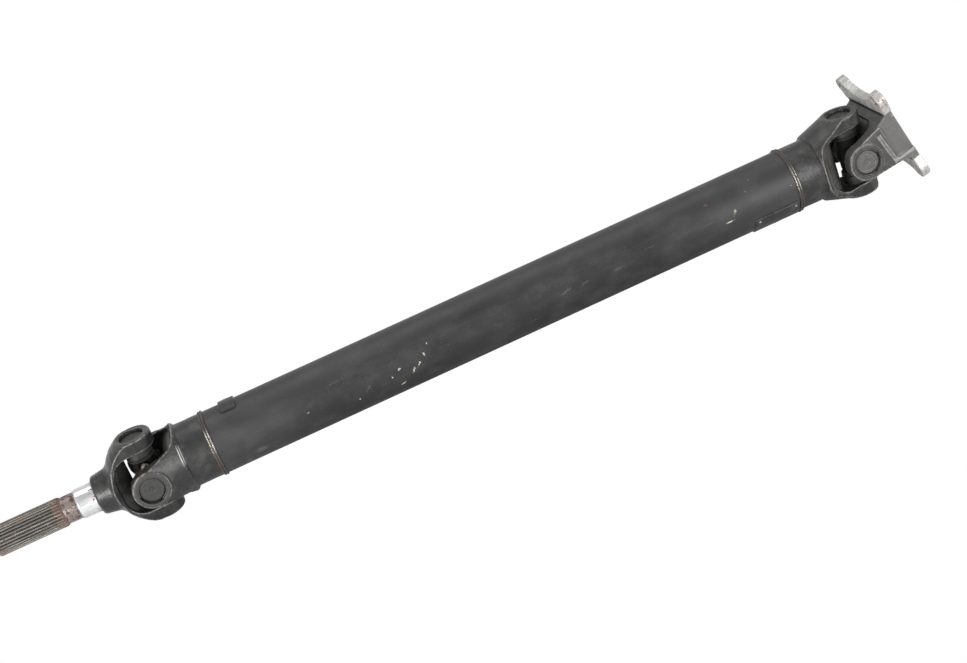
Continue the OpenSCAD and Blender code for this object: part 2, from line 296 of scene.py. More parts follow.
# ---------------------------------------------------------------- forgings
def softened(node, voxel, rounds, cut_x=None):
    """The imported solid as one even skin: a merged copy, rebuilt on a voxel grid, then relaxed by
    moving each corner towards its neighbours' mean and part of the way back (Taubin's rule)."""
    mesh = frame["nodes"][node].data.copy()
    shape = bmesh.new()
    shape.from_mesh(mesh)
    bmesh.ops.remove_doubles(shape, verts=shape.verts, dist=1e-6)
    if cut_x is not None:
        everything = shape.verts[:] + shape.edges[:] + shape.faces[:]
        found = bmesh.ops.bisect_plane(
            shape, geom=everything, plane_co=(cut_x * MM, 0, 0), plane_no=(-1, 0, 0),
            clear_outer=True)
        rim = [g for g in found["geom_cut"] if isinstance(g, bmesh.types.BMEdge)]
        bmesh.ops.holes_fill(shape, edges=rim)
    shape.to_mesh(mesh)
    shape.free()
    holder = bpy.data.objects.new(node + "_copy", mesh)
    bpy.context.scene.collection.objects.link(holder)
    remesh = holder.modifiers.new("even", "REMESH")
    remesh.mode = "VOXEL"
    remesh.voxel_size = voxel * MM
    skin = applied(holder)
    points, edges, _ = mesh_arrays(skin)
    a, b = edges[:, 0], edges[:, 1]
    both, other = np.r_[a, b], np.r_[b, a]
    count = np.bincount(both, minlength=len(points))
    for turn in range(rounds * 2):
        mean = np.stack([np.bincount(both, weights=points[other, k], minlength=len(points)) / count
                         for k in range(3)], 1)
        points = points + (RELAX if turn % 2 == 0 else UNRELAX) * (mean - points)
    skin.vertices.foreach_set("co", points.ravel())
    skin.update()
    thinned = bpy.data.objects.new(node + "_thin", skin)
    bpy.context.scene.collection.objects.link(thinned)
    faces = sum(len(p.vertices) - 2 for p in skin.polygons)
    if faces > FACE_LIMIT:
        cut = thinned.modifiers.new("thin", "DECIMATE")
        cut.ratio = FACE_LIMIT / faces
    return applied(thinned)


def applied(holder):
    """The mesh of an object with its modifiers applied; the object itself is removed."""
    seen = holder.evaluated_get(bpy.context.evaluated_depsgraph_get())
    mesh = bpy.data.meshes.new_from_object(seen)
    bpy.data.objects.remove(holder)
    return mesh


def forged(name, node, body, material, voxel, rounds, ears, cut_x=None, lit=0.05,
           shape=None, extra=None):
    """A forging: the softened solid with a gently uneven skin, left plain round its machined
    ears. Attribute inner is 1 where the skin faces the joint's centre, past the cosine `lit`, and
    marks painted shade, kept near black; another attribute marks the faces that look along the
    shaft, where lit lets them show, for rubbed paint with a painted sheen of light.
    shape(points) may move corners and extra(mesh, points) may add attributes."""
    mesh = softened(node, voxel, rounds, cut_x)
    points, _, normals = mesh_arrays(mesh)
    points = points / MM
    uneven = 0.10 * waves(points, 9, 3) + 0.05 * waves(points, 3.2, 4) - 0.12
    inwards = EAR_PLACE[ears[0]][0] - points
    inwards /= np.linalg.norm(inwards, axis=1)[:, None]
    facing = (normals * inwards).sum(1)
    # Painted shade: inner marks the faces inside the joint, which the paint turns near black.
    attribute(mesh, "inner", np.clip((facing - lit) / 0.3, 0, 1))
    # Faces that look along +X and away from the joint's centre: rubbed paint and a painted sheen of light, used
    # only where lit is high (the right fork).
    rubbed = np.clip((normals[:, 0] - 0.2) / 0.3, 0, 1) * np.clip((0.55 - facing) / 0.35, 0, 1)
    attribute(mesh, "rubbed", rubbed * (lit > 0.2))
    for ear in ears:
        centre, roll = EAR_PLACE[ear]
        along = ear_axis(roll)
        rel = points - centre
        high = rel @ along
        off = np.linalg.norm(rel - high[:, None] * along, axis=1)
        machined = (high > EAR_INNER - 1) & (off < RIM_OUT + 0.6)
        uneven[machined] *= 0.15
        top = (high > EAR_FACE - 1.2) & (off < RIM_OUT)
        points[top] -= along * (high[top] - (EAR_FACE - 0.45)).clip(0)[:, None]
    points = points + normals * uneven[:, None]
    if shape is not None:
        points = shape(points)
    mesh.vertices.foreach_set("co", (points * MM).ravel())
    mesh.update()
    if extra is not None:
        extra(mesh, points)
    return finish_piece(mesh, name, body, material, (node,), sharp=0, passes=3)


# ---------------------------------------------------------------- node helpers
def fill(tree, made, inputs):
    """Fills a node's inputs with constants, or with links from other sockets."""
    for key, value in inputs.items():
        if isinstance(value, bpy.types.NodeSocket):
            tree.links.new(value, made.inputs[key])
        else:
            made.inputs[key].default_value = value


def put(tree, kind, inputs=None, **settings):
    """Adds a node with these settings and inputs."""
    made = tree.nodes.new("ShaderNode" + kind)
    for key, value in settings.items():
        setattr(made, key, value)
    fill(tree, made, inputs or {})
    return made


def noise(tree, where, scale, detail=3.0, rough=0.55):
    """Cloudy noise from 0 to 1; a larger scale is finer."""
    return put(tree, "TexNoise", {"Vector": where, "Scale": scale, "Detail": detail,
                                  "Roughness": rough}).outputs["Fac"]


def step(tree, value, low, high, bottom=0.0, top=1.0):
    """Smooth step of a value from low to high, given as bottom to top."""
    return put(tree, "MapRange", {"Value": value, "From Min": low, "From Max": high, "To Min": bottom,
                                  "To Max": top}, interpolation_type="SMOOTHSTEP").outputs["Result"]


def maths(tree, how, a, b=0.0, c=0.0):
    """One sum of up to three values."""
    return put(tree, "Math", {0: a, 1: b, 2: c}, operation=how).outputs[0]


def times(tree, a, b):
    return maths(tree, "MULTIPLY", a, b)


def added(tree, a, share, b):
    """b plus a share of a."""
    return maths(tree, "MULTIPLY_ADD", a, share, b)


def blend(tree, mask, a, b):
    """Colour a where the mask is 0, colour b where it is 1."""
    return put(tree, "Mix", {0: mask, 6: a, 7: b}, data_type="RGBA").outputs[2]


def tinted(tree, colour, amount):
    """A colour made lighter or darker by a factor that varies over the surface."""
    return put(tree, "Mix", {0: 1.0, 6: colour, 7: amount}, data_type="RGBA",
               blend_type="MULTIPLY").outputs[2]


def laid_over(tree, base, colour, mask, share):
    """A colour laid over the base where the mask is high, at most by this share."""
    return blend(tree, times(tree, mask, share), base, colour)


def stretched(tree, where, scale):
    """A place whose noise is drawn out along the axes with the smaller scales."""
    return put(tree, "Mapping", {"Vector": where, "Scale": scale, "Location": (0, 0, 0)}).outputs[0]


def read(tree, name):
    """An attribute that the piece's mesh carries."""
    return put(tree, "Attribute", attribute_name=name).outputs["Fac"]


def relief(tree, height, depth, under=None):
    """Bump of a height from 0 to 1 that is `depth` millimetres deep."""
    inputs = {"Height": height, "Distance": depth * MM, "Strength": 1.0}
    if under is not None:
        inputs["Normal"] = under
    return put(tree, "Bump", inputs).outputs[0]


def place(tree):
    """The point on the surface, in metres in the part's own frame."""
    return put(tree, "TexCoord").outputs["Object"]


def frayed(tree, mark, ragged, amount):
    """A mark's value with its outline broken up: noise round its middle, times the amount."""
    return added(tree, maths(tree, "SUBTRACT", ragged, 0.5), amount, mark)


def material(name):
    """A new material with one Principled shader; returns the material, its tree and the shader."""
    made = bpy.data.materials.new(name)
    made.use_nodes = True
    tree = made.node_tree
    tree.nodes.clear()
    shader = tree.nodes.new("ShaderNodeBsdfPrincipled")
    tree.links.new(shader.outputs[0], tree.nodes.new("ShaderNodeOutputMaterial").inputs[0])
    return made, tree, shader


def feed(tree, shader, **inputs):
    """Sets or links the shader's inputs; an underscore in a name stands for a space."""
    fill(tree, shader, {key.replace("_", " "): value for key, value in inputs.items()})


# ---------------------------------------------------------------- shared effects
def effect(name, inputs, outputs):
    """An empty shader node group with named sockets; returns it, its inputs and its outputs."""
    tree = bpy.data.node_groups.new(name, "ShaderNodeTree")
    for label, kind, value in inputs:
        socket = tree.interface.new_socket(name=label, in_out="INPUT", socket_type="NodeSocket" + kind)
        if value is not None:
            socket.default_value = value
    for label, kind in outputs:
        tree.interface.new_socket(name=label, in_out="OUTPUT", socket_type="NodeSocket" + kind)
    return tree, tree.nodes.new("NodeGroupInput").outputs, tree.nodes.new("NodeGroupOutput").inputs


def use(tree, group, inputs):
    """Places a shared effect in a material with its own values."""
    made = tree.nodes.new("ShaderNodeGroup")
    made.node_tree = group
    fill(tree, made, inputs)
    return made.outputs


def make_edge_wear():
    """Mask of worn edges: the edge attribute, broken up by noise, between Start and Full."""
    tree, given, out = effect(
        "edge wear", [("Vector", "Vector", None), ("Start", "Float", 0.1), ("Full", "Float", 0.3),
                      ("Patches", "Float", 300.0), ("Ragged", "Float", 0.1)], [("Mask", "Float")])
    patches = noise(tree, given["Vector"], given["Patches"], 4)
    ragged = frayed(tree, read(tree, "edge"), patches, given["Ragged"])
    tree.links.new(step(tree, ragged, given["Start"], given["Full"]), out["Mask"])
    return tree


def worn_edges(tree, at, start, full, patches, ragged):
    """Where edges are rubbed: the edge wear effect with its own values."""
    return use(tree, EDGE_WEAR, {"Vector": at, "Start": start, "Full": full, "Patches": patches,
                                 "Ragged": ragged})["Mask"]


def make_dust():
    """Light specks and haze that settled on a surface: thresholded fine noise, thicker where a
    slow noise is high. Specks are separate dots, Haze is a faint cloud."""
    tree, given, out = effect(
        "dust", [("Vector", "Vector", None), ("Size", "Float", 1.0)],
        [("Specks", "Float"), ("Haze", "Float")])
    fine = noise(tree, given["Vector"], maths(tree, "DIVIDE", 1400.0, given["Size"]), 2, 0.6)
    slow = noise(tree, given["Vector"], maths(tree, "DIVIDE", 60.0, given["Size"]), 3)
    lifted = added(tree, slow, 0.16, fine)
    tree.links.new(step(tree, lifted, 0.735, 0.80), out["Specks"])
    tree.links.new(step(tree, slow, 0.42, 0.68), out["Haze"])
    return tree


def make_rust():
    """Rust: blotches where a mid noise passes a level, with a grainy colour from dark brown to
    orange and a crusty height. Cover shifts the level."""
    tree, given, out = effect(
        "rust", [("Vector", "Vector", None), ("Size", "Float", 250.0), ("Cover", "Float", 0.0)],
        [("Mask", "Float"), ("Colour", "Color"), ("Height", "Float")])
    blot = noise(tree, given["Vector"], given["Size"], 5, 0.62)
    lifted = maths(tree, "ADD", blot, given["Cover"])
    grain = noise(tree, given["Vector"], times(tree, given["Size"], 5.0), 3, 0.7)
    colour = blend(tree, step(tree, grain, 0.35, 0.65), (0.05, 0.018, 0.012, 1), (0.19, 0.065, 0.035, 1))
    tree.links.new(step(tree, lifted, 0.56, 0.63), out["Mask"])
    tree.links.new(colour, out["Colour"])
    tree.links.new(grain, out["Height"])
    return tree


def make_skin():
    """Forged or cast skin: Tone is slow blotches with grain, Height is scale pits over soft lumps."""
    tree, given, out = effect(
        "forged skin", [("Vector", "Vector", None), ("Size", "Float", 1.0)],
        [("Tone", "Float"), ("Height", "Float")])
    lumps = noise(tree, given["Vector"], maths(tree, "DIVIDE", 190.0, given["Size"]), 4, 0.6)
    grain = noise(tree, given["Vector"], maths(tree, "DIVIDE", 1100.0, given["Size"]), 3, 0.6)
    fineness = maths(tree, "DIVIDE", 520.0, given["Size"])
    pits = put(tree, "TexVoronoi", {"Vector": given["Vector"], "Scale": fineness},
               feature="SMOOTH_F1").outputs["Distance"]
    height = added(tree, step(tree, pits, 0.05, 0.45), 0.35,
                   added(tree, grain, 0.4, lumps))
    tone = added(tree, grain, 0.35, times(tree, lumps, 0.75))
    tree.links.new(tone, out["Tone"])
    tree.links.new(height, out["Height"])
    return tree


EDGE_WEAR, DUST, RUST, SKIN = make_edge_wear(), make_dust(), make_rust(), make_skin()


# ---------------------------------------------------------------- finishes
def tube_paint():
    """Satin black paint on a drawn tube: lengthwise streaks, a brown heat-dark patch in the
    middle, painted shade over the middle of its near and lower side, dust specks, scuffs, and chips
    that show the pale primer."""
    made, tree, shader = material("tube_paint")
    at = place(tree)
    streaks = noise(tree, stretched(tree, at, (6, 150, 150)), 3.0, 5, 0.6)
    fine = noise(tree, stretched(tree, at, (30, 700, 700)), 2.0, 3, 0.6)
    cloud = noise(tree, stretched(tree, at, (1, 2.2, 2.2)), 12.0, 4, 0.55)
    grain = noise(tree, at, 1300.0, 2, 0.6)
    tone = added(tree, streaks, 0.34, added(tree, fine, 0.25, 0.22))
    tone = added(tree, grain, 0.5, tone)
    tone = added(tree, cloud, 0.5, tone)
    paint = tinted(tree, (0.0190, 0.0188, 0.0198, 1), tone)
    # Painted shade: the middle of the tube's near and lower side darkened, broken up by the cloud noise.
    grime = times(tree, read(tree, "grime"), step(tree, cloud, 0.3, 0.6, 0.45, 0.75))
    broken = added(tree, streaks, 0.5, times(tree, grain, 0.5))
    patch = times(tree, read(tree, "patch"), step(tree, broken, 0.35, 0.6, 0.35, 0.85))
    # From here patch carries the heat patches and the painted shade.
    patch = maths(tree, "MAXIMUM", patch, grime)
    paint = blend(tree, patch, paint, (0.0026, 0.0017, 0.0012, 1))
    dust = use(tree, DUST, {"Vector": stretched(tree, at, (0.6, 1, 1)), "Size": 1.0})
    paint = laid_over(tree, paint, (0.15, 0.14, 0.13, 1), dust["Specks"], 0.32)
    paint = laid_over(tree, paint, (0.10, 0.10, 0.10, 1), dust["Haze"], 0.10)
    ragged = noise(tree, at, 900.0, 3, 0.65)
    scuff = frayed(tree, read(tree, "scuff"), ragged, 1.5)
    paint = blend(tree, step(tree, scuff, 0.6, 1.2, 0.0, 0.4), paint, (0.15, 0.145, 0.135, 1))
    stain = frayed(tree, read(tree, "stain"), ragged, 1.2)
    paint = blend(tree, step(tree, stain, 0.5, 0.9, 0.0, 0.6), paint, (0.12, 0.055, 0.040, 1))
    torn = noise(tree, at, 1500.0, 3, 0.7)
    chip = frayed(tree, read(tree, "chip"), torn, 1.8)
    chipped = step(tree, chip, 0.50, 0.66)
    paint = blend(tree, chipped, paint, (0.43, 0.40, 0.335, 1))
    rough = added(tree, cloud, 0.16, added(tree, streaks, 0.10, 0.34))
    rough = added(tree, chipped, 0.25, added(tree, patch, 0.3, rough))
    orange_peel = noise(tree, at, 1500.0, 2, 0.5)
    height = added(tree, streaks, 0.6, times(tree, orange_peel, 0.6))
    normal = relief(tree, height, 0.05)
    normal = relief(tree, times(tree, chipped, -1.0), 0.10, normal)
    feed(tree, shader, Base_Color=paint, Roughness=rough, Normal=normal)
    feed(tree, shader, Specular_IOR_Level=0.42)
    return made


def forged_paint(name, colour, dusty, lift=1.0, wear=(0.035, 0.13), rough_from=0.28,
                 gloss=0.42):
    """Thin satin black paint over forged iron: scale pits, blotches, dust in a haze, and edges
    rubbed to a warm grey; painted shade near black on the faces inside the joint, rubbed paint
    with a painted sheen of light on the faces that look along the shaft, and painted highlights.
    Returns the material, and what another layer needs to go over it."""
    made, tree, shader = material(name)
    at = place(tree)
    skin = use(tree, SKIN, {"Vector": at, "Size": 1.0})
    tone = added(tree, skin["Tone"], 1.2, 0.34)
    paint = tinted(tree, colour, tone)
    dust = use(tree, DUST, {"Vector": at, "Size": 0.8})
    paint = laid_over(tree, paint, (0.12, 0.118, 0.11, 1), dust["Haze"], 0.16 * lift)
    worn = worn_edges(tree, at, *wear, 420.0, 0.16)
    inner = read(tree, "inner")
    # Painted shade: near black laid over the faces inside the joint.
    paint = laid_over(tree, paint, (0.0025, 0.0022, 0.002, 1), inner, 0.85)
    paint = laid_over(tree, paint, dusty, worn, 0.8)
    # Rubbed paint and a painted sheen of light: a lighter grey on the faces that look along the shaft.
    rubbed = times(tree, read(tree, "rubbed"), step(tree, skin["Tone"], 0.3, 0.75, 0.35, 0.95))
    paint = blend(tree, rubbed, paint, (0.080, 0.078, 0.074, 1))
    specks = times(tree, dust["Specks"], step(tree, inner, 0, 1, 0.45 * lift, 0.12))
    paint = blend(tree, specks, paint, (0.26, 0.25, 0.225, 1))
    # Painted highlights: near white on the thin lines and glints.
    paint = blend(tree, read(tree, "shine"), paint, (0.62, 0.60, 0.56, 1))
    rough = added(tree, inner, 0.5, added(tree, skin["Tone"], 0.20, rough_from))
    feed(tree, shader, Base_Color=paint, Roughness=rough, Normal=relief(tree, skin["Height"], 0.13))
    feed(tree, shader, Specular_IOR_Level=gloss)
    return made, tree, shader, paint, rough


def flange_paint():
    """The flange yoke's finish: painted fork, with the plate and lugs machined to bare metal and
    spotted with rust, and a painted highlight on the raised L-shaped bands."""
    made, tree, shader, paint, rough = forged_paint(
        "flange_forging", (0.032, 0.0315, 0.0305, 1), (0.26, 0.255, 0.235, 1), 1.2)
    at = place(tree)
    skin = use(tree, SKIN, {"Vector": at, "Size": 0.8})
    ragged = noise(tree, at, 500.0, 4, 0.6)
    bare = frayed(tree, read(tree, "bare"), ragged, 0.5)
    bare = step(tree, bare, 0.40, 0.62)
    metal = tinted(tree, (0.40, 0.396, 0.38, 1), added(tree, skin["Tone"], 1.3, 0.24))
    thin = times(tree, read(tree, "thin"), step(tree, skin["Tone"], 0.2, 0.8, 0.7, 1.0))
    paint = blend(tree, thin, paint, (0.115, 0.113, 0.108, 1))
    # Painted highlight: the raised bands and the nub made light grey.
    ridge = times(tree, read(tree, "ridge"), step(tree, ragged, 0.35, 0.6, 0.45, 0.95))
    paint = blend(tree, ridge, paint, (0.25, 0.245, 0.23, 1))
    rust = use(tree, RUST, {"Vector": at, "Size": 330.0, "Cover": -0.10})
    spots = use(tree, RUST, {"Vector": at, "Size": 340.0, "Cover": 0.0})
    rusty = maths(tree, "MAXIMUM", rust["Mask"], times(tree, spots["Mask"], read(tree, "rusty")))
    metal = blend(tree, rusty, metal, tinted(tree, spots["Colour"], (1.7, 1.0, 0.8, 1)))
    colour = blend(tree, bare, paint, metal)
    metallic = times(tree, bare, added(tree, rusty, -0.55, 0.55))
    rough = added(tree, bare, 0.03, rough)
    feed(tree, shader, Base_Color=colour, Metallic=metallic, Roughness=rough,
         Normal=relief(tree, skin["Height"], 0.12))
    return made


def weld_paint():
    """Weld metal under thin paint: ripples rubbed bright on their crests, partly a painted highlight, brown in
    between.
    """
    made, tree, shader = material("weld_paint")
    at = place(tree)
    skin = use(tree, SKIN, {"Vector": at, "Size": 0.6})
    paint = blend(tree, step(tree, skin["Tone"], 0.35, 0.75),
                  (0.009, 0.008, 0.007, 1), (0.032, 0.028, 0.024, 1))
    worn = worn_edges(tree, at, 0.05, 0.22, 120.0, 0.22)
    brown = laid_over(tree, paint, (0.11, 0.075, 0.055, 1), worn, 0.55)
    dashes = step(tree, noise(tree, at, 520.0, 2, 0.5), 0.36, 0.5, 0.25, 1.0)
    # Crests rubbed bright and partly painted highlight, kept to the roll that the weld bead marks.
    rubbed = times(tree, times(tree, worn, dashes), read(tree, "rubbed"))
    colour = blend(tree, rubbed, brown, (0.72, 0.68, 0.60, 1))
    feed(tree, shader, Base_Color=colour, Roughness=step(tree, worn, 0, 1, 0.42, 0.34),
         Metallic=times(tree, rubbed, 0.35), Normal=relief(tree, skin["Height"], 0.08))
    return made


def bearing_steel(name, colour, metallic, rough, marks=1.0, edge=(0.16, 0.155, 0.14, 1)):
    """Oily, partly painted bearing steel with fine lathe marks round its axis."""
    made, tree, shader = material(name)
    at = place(tree)
    rings = put(tree, "CombineXYZ", {0: read(tree, "off_axis"), 1: 0.0, 2: 0.0}).outputs[0]
    lathe = noise(tree, rings, 5.5, 2, 0.7)
    skin = use(tree, SKIN, {"Vector": at, "Size": 0.7})
    tone = added(tree, skin["Tone"], 0.9, added(tree, lathe, 0.5 * marks, 0.3))
    base = tinted(tree, colour, tone)
    worn = worn_edges(tree, at, 0.08, 0.3, 500.0, 0.2)
    base = laid_over(tree, base, edge, worn, 0.7)
    dust = use(tree, DUST, {"Vector": at, "Size": 0.7})
    base = laid_over(tree, base, (0.28, 0.27, 0.24, 1), dust["Specks"], 0.5)
    height = added(tree, lathe, 1.2 * marks, skin["Height"])
    feed(tree, shader, Base_Color=base, Metallic=metallic,
         Roughness=step(tree, skin["Tone"], 0.3, 0.8, rough - 0.07, rough + 0.1),
         Normal=relief(tree, height, 0.06))
    return made


def ground_journal():
    """Bright ground steel: very fine rings, faint cross scratches, and rust spots by the hub."""
    made, tree, shader = material("ground_journal")
    at = place(tree)
    rings = noise(tree, stretched(tree, at, (2600, 3, 3)), 1.0, 2, 0.6)
    wear = noise(tree, stretched(tree, at, (60, 240, 240)), 1.0, 4, 0.6)
    base = tinted(tree, (0.86, 0.86, 0.87, 1), added(tree, rings, 0.10, 0.92))
    base = tinted(tree, base, step(tree, wear, 0.3, 0.7, 0.86, 1.04))
    cover = added(tree, read(tree, "rusty"), 0.36, -0.20)
    rust = use(tree, RUST, {"Vector": at, "Size": 300.0, "Cover": cover})
    base = blend(tree, rust["Mask"], base, rust["Colour"])
    rough = added(tree, rust["Mask"], 0.45, added(tree, wear, 0.12, 0.13))
    height = added(tree, rust["Mask"], rust["Height"], times(tree, rings, 0.25))
    feed(tree, shader, Base_Color=base, Metallic=maths(tree, "SUBTRACT", 1.0, rust["Mask"]),
         Roughness=rough, Normal=relief(tree, height, 0.03))
    return made


def rusty_neck():
    """Turned steel gone mostly rusty brown, with grey patches rubbed through."""
    made, tree, shader = material("rusty_neck")
    at = place(tree)
    rust = use(tree, RUST, {"Vector": at, "Size": 210.0, "Cover": 0.06})
    pale = noise(tree, at, 330.0, 4, 0.65)
    metal = tinted(tree, (0.20, 0.165, 0.155, 1), added(tree, pale, 1.1, 0.4))
    brown = blend(tree, step(tree, pale, 0.38, 0.66), (0.045, 0.020, 0.017, 1), (0.13, 0.078, 0.068, 1))
    base = blend(tree, rust["Mask"], metal, brown)
    feed(tree, shader, Base_Color=base, Metallic=added(tree, rust["Mask"], -0.4, 0.5),
         Roughness=step(tree, rust["Mask"], 0, 1, 0.36, 0.65), Normal=relief(tree, rust["Height"], 0.10))
    return made


def spline_steel():
    """Oiled spline: grey-green steel, darker towards the roots, with rubbed tips and brown rust in patches."""
    made, tree, shader = material("spline_steel")
    at = place(tree)
    slow = noise(tree, stretched(tree, at, (22, 70, 70)), 1.0, 4, 0.6)
    fine = noise(tree, stretched(tree, at, (90, 900, 900)), 1.0, 3, 0.6)
    steel = tinted(tree, (0.135, 0.125, 0.112, 1), added(tree, fine, 0.8, 0.5))
    tip = read(tree, "tip")
    # Darker towards the roots, lighter on the tips.
    steel = tinted(tree, steel, step(tree, tip, 0.2, 0.9, 0.30, 1.15))
    lanes = noise(tree, stretched(tree, at, (14, 260, 260)), 1.0, 2, 0.5)
    worn = step(tree, added(tree, fine, 0.5, read(tree, "edge")), 0.32, 0.50)
    worn = times(tree, times(tree, worn, tip), step(tree, lanes, 0.46, 0.60, 0.12, 0.9))
    steel = blend(tree, worn, steel, (0.62, 0.59, 0.54, 1))
    cover = added(tree, slow, 0.65, added(tree, read(tree, "rusty"), 0.30, -0.33))
    rust = use(tree, RUST, {"Vector": at, "Size": 300.0, "Cover": cover})
    brown = blend(tree, step(tree, fine, 0.35, 0.65), (0.050, 0.026, 0.021, 1), (0.17, 0.105, 0.078, 1))
    base = laid_over(tree, steel, brown, rust["Mask"], 0.8)
    metallic = added(tree, rust["Mask"], -0.45, 0.55)
    feed(tree, shader, Base_Color=base, Metallic=metallic,
         Roughness=added(tree, rust["Mask"], 0.22, 0.36),
         Normal=relief(tree, added(tree, fine, 0.8, rust["Height"]), 0.05))
    return made


def plated_steel():
    """Zinc-plated grease nipple: yellowish bright metal with dirty flats."""
    made, tree, shader = material("plated_steel")
    at = place(tree)
    dirt = noise(tree, at, 420.0, 4, 0.6)
    base = blend(tree, step(tree, dirt, 0.42, 0.62), (0.36, 0.33, 0.27, 1), (0.07, 0.062, 0.05, 1))
    feed(tree, shader, Base_Color=base, Metallic=step(tree, dirt, 0.42, 0.62, 0.95, 0.4),
         Roughness=step(tree, dirt, 0.3, 0.7, 0.24, 0.5), Normal=relief(tree, dirt, 0.05))
    return made


def seal_rubber():
    """Dull black rubber with a dusty bloom."""
    made, tree, shader = material("seal_rubber")
    at = place(tree)
    dust = use(tree, DUST, {"Vector": at, "Size": 0.6})
    grain = noise(tree, at, 1300.0, 3, 0.6)
    base = laid_over(tree, (0.012, 0.012, 0.012, 1), (0.05, 0.046, 0.04, 1), dust["Haze"], 0.4)
    base = laid_over(tree, base, (0.12, 0.11, 0.10, 1), dust["Specks"], 0.5)
    feed(tree, shader, Base_Color=base, Roughness=step(tree, grain, 0.3, 0.7, 0.55, 0.8),
         Normal=relief(tree, grain, 0.05))
    return made


def needle_steel():
    """Polished rollers under a film of grease."""
    made, tree, shader = material("needle_steel")
    at = place(tree)
    film = noise(tree, at, 300.0, 3, 0.6)
    base = blend(tree, step(tree, film, 0.35, 0.65), (0.62, 0.61, 0.58, 1), (0.30, 0.25, 0.17, 1))
    feed(tree, shader, Base_Color=base, Metallic=0.9, Roughness=step(tree, film, 0.3, 0.7, 0.16, 0.36),
         Normal=relief(tree, film, 0.02))
    return made


TUBE_PAINT = tube_paint()
YOKE_PAINT = forged_paint("yoke_paint", (0.013, 0.0128, 0.0128, 1), (0.21, 0.205, 0.185, 1))[0]
STUB_PAINT = forged_paint("stub_forging", (0.0125, 0.0125, 0.0125, 1), (0.25, 0.245, 0.225, 1), 1.1,
                          rough_from=0.20)[0]
FLANGE_PAINT = flange_paint()
WEIGHT_PAINT = forged_paint("weight_paint", (0.012, 0.0118, 0.0118, 1), (0.045, 0.043, 0.04, 1), 0.8,
                            (0.5, 0.9))[0]
CROSS_METAL = forged_paint("cross_metal", (0.006, 0.0052, 0.0045, 1), (0.035, 0.031, 0.025, 1), 0.4,
                           (0.10, 0.26), gloss=0.2)[0]
WELD_PAINT = weld_paint()
RIM_METAL = bearing_steel("ear_rim", (0.042, 0.041, 0.038, 1), 0.2, 0.34, edge=(0.30, 0.29, 0.265, 1))
CUP_METAL = bearing_steel("cup_steel", (0.026, 0.0255, 0.025, 1), 0.15, 0.40)
FLANGE_CUP = bearing_steel("flange_cup", (0.075, 0.074, 0.071, 1), 0.3, 0.34, 1.3, (0.36, 0.355, 0.33, 1))
SPRING_METAL = bearing_steel("spring_steel", (0.040, 0.039, 0.038, 1), 0.35, 0.30)
JOURNAL_METAL = ground_journal()
NECK_METAL = rusty_neck()
SPLINE_METAL = spline_steel()
NIPPLE_METAL = plated_steel()
SEAL_RUBBER = seal_rubber()
NEEDLE_METAL = needle_steel()


# ---------------------------------------------------------------- tube
# Marks on the tube, laid out with a rule in whole millimetres: distance from the tube's left
# end, distance round the tube below its near side, length, width, and tilt in degrees.
CHIPS = [
    (223, -15, 3, 1.4, 60), (216, -6, 6, 1.2, 75), (209, 0, 5, 1.8, 55), (202, 4, 8, 1.8, 60),
    (207, 3, 3, 1.2, 80), (189, -3, 4, 1.5, 20), (180, 2, 3, 1.4, 60), (188, 14, 6, 1.6, 15),
    (564, -20, 2, 1.2, 10), (547, -7, 3, 2.4, 80), (545, -4, 4, 1.6, 70), (539, 1, 9, 1.6, 5),
    (622, -5, 2, 1.4, 0), (608, -7, 2, 1.0, 30), (572, -30, 2, 1.0, 30), (157, 3, 4, 0.8, 40),
    (144, 9, 3, 0.9, 30), (94, -1, 2, 1.0, 0), (290, -3, 2, 0.9, 20), (440, 3, 2, 0.9, 60),
]
SCUFFS = [
    (455, -9, 45, 1.2, 3), (510, -6, 60, 1.0, -2), (40, 15, 18, 9, 10), (155, 2, 16, 3, 40),
    (365, -4, 15, 3.5, 15), (385, -4, 12, 3, 10), (420, -3, 14, 2.5, 0),
    (125, -17, 35, 1.2, 4), (325, 10, 50, 1.2, -3),
]
STAINS = [(25, 24, 7, 4, 20), (523, -24, 5, 3, 0)]
HEAT = [(305, -14, 44, 17, 12), (330, -2, 62, 15, 4), (440, -18, 70, 10, 5), (270, -22, 60, 11, 0)]


def marks(x, roll, spots, soft=1.0):
    """Highest, over the spots, of a bump that is 1 in a spot's middle and falls to 0 as the
    squared distance, measured in its own length and width along its own tilt, grows past 1."""
    total = np.zeros_like(x)
    for along, below, length, width, tilt in spots:
        u = x - TUBE_START - along
        v = np.radians((roll + 90) % 360 - 180) * TUBE_R - below
        c, s = cos(radians(tilt)), sin(radians(tilt))
        d = ((u * c - v * s) / (length / 2)) ** 2 + ((u * s + v * c) / (width / 2)) ** 2
        total = np.maximum(total, np.exp(-d * 0.7 / soft))
    return total


